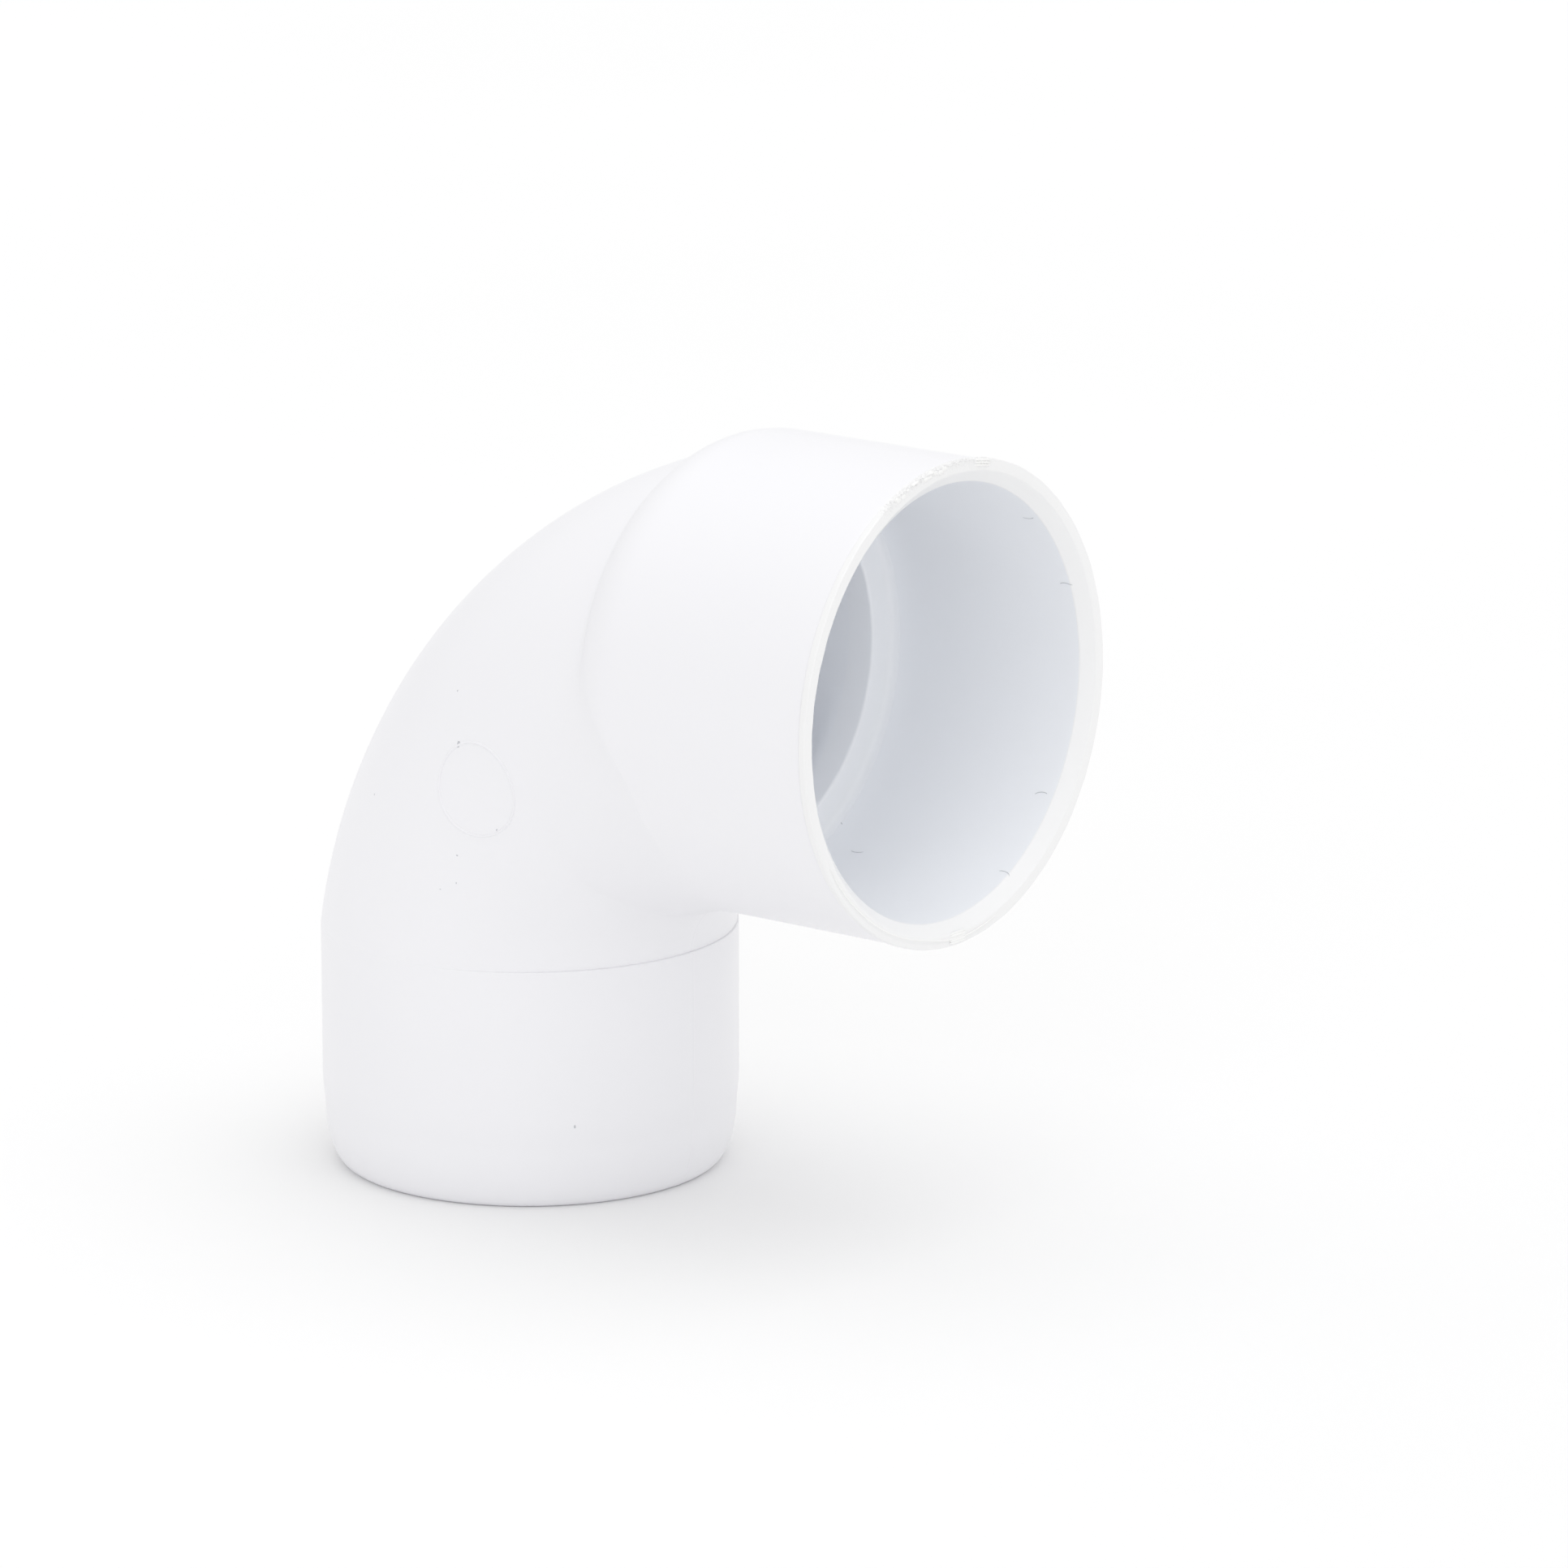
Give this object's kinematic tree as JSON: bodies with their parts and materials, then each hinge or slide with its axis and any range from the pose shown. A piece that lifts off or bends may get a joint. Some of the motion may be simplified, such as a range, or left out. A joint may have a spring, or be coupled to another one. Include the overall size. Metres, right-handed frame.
{
  "type": "pvc elbow fitting",
  "caption": "White PVC right-angle pipe elbow with a plain spigot end, a smooth swept bend and an enlarged solvent-weld socket with a pipe stop.",
  "frame": {"origin": "on the plane the spigot end stands on, under the middle of the fitting's bounding box", "axes": "+Z along the spigot axis, away from the spigot's end; +X along the socket axis, out of its mouth; XZ is the mirror plane"},
  "size_m": [0.0992, 0.0638, 0.1046],
  "materials": {
    "body_white": "smooth moulded gloss",
    "stop_white": "satin",
    "lip_cream": "satin, machine trimmed"
  },
  "bodies": {
    "root": {"spigot": "body_white", "bend": "body_white", "socket": "body_white", "pipe_stop": "stop_white", "mouth_lip": "lip_cream"}
  },
  "joints": []
}
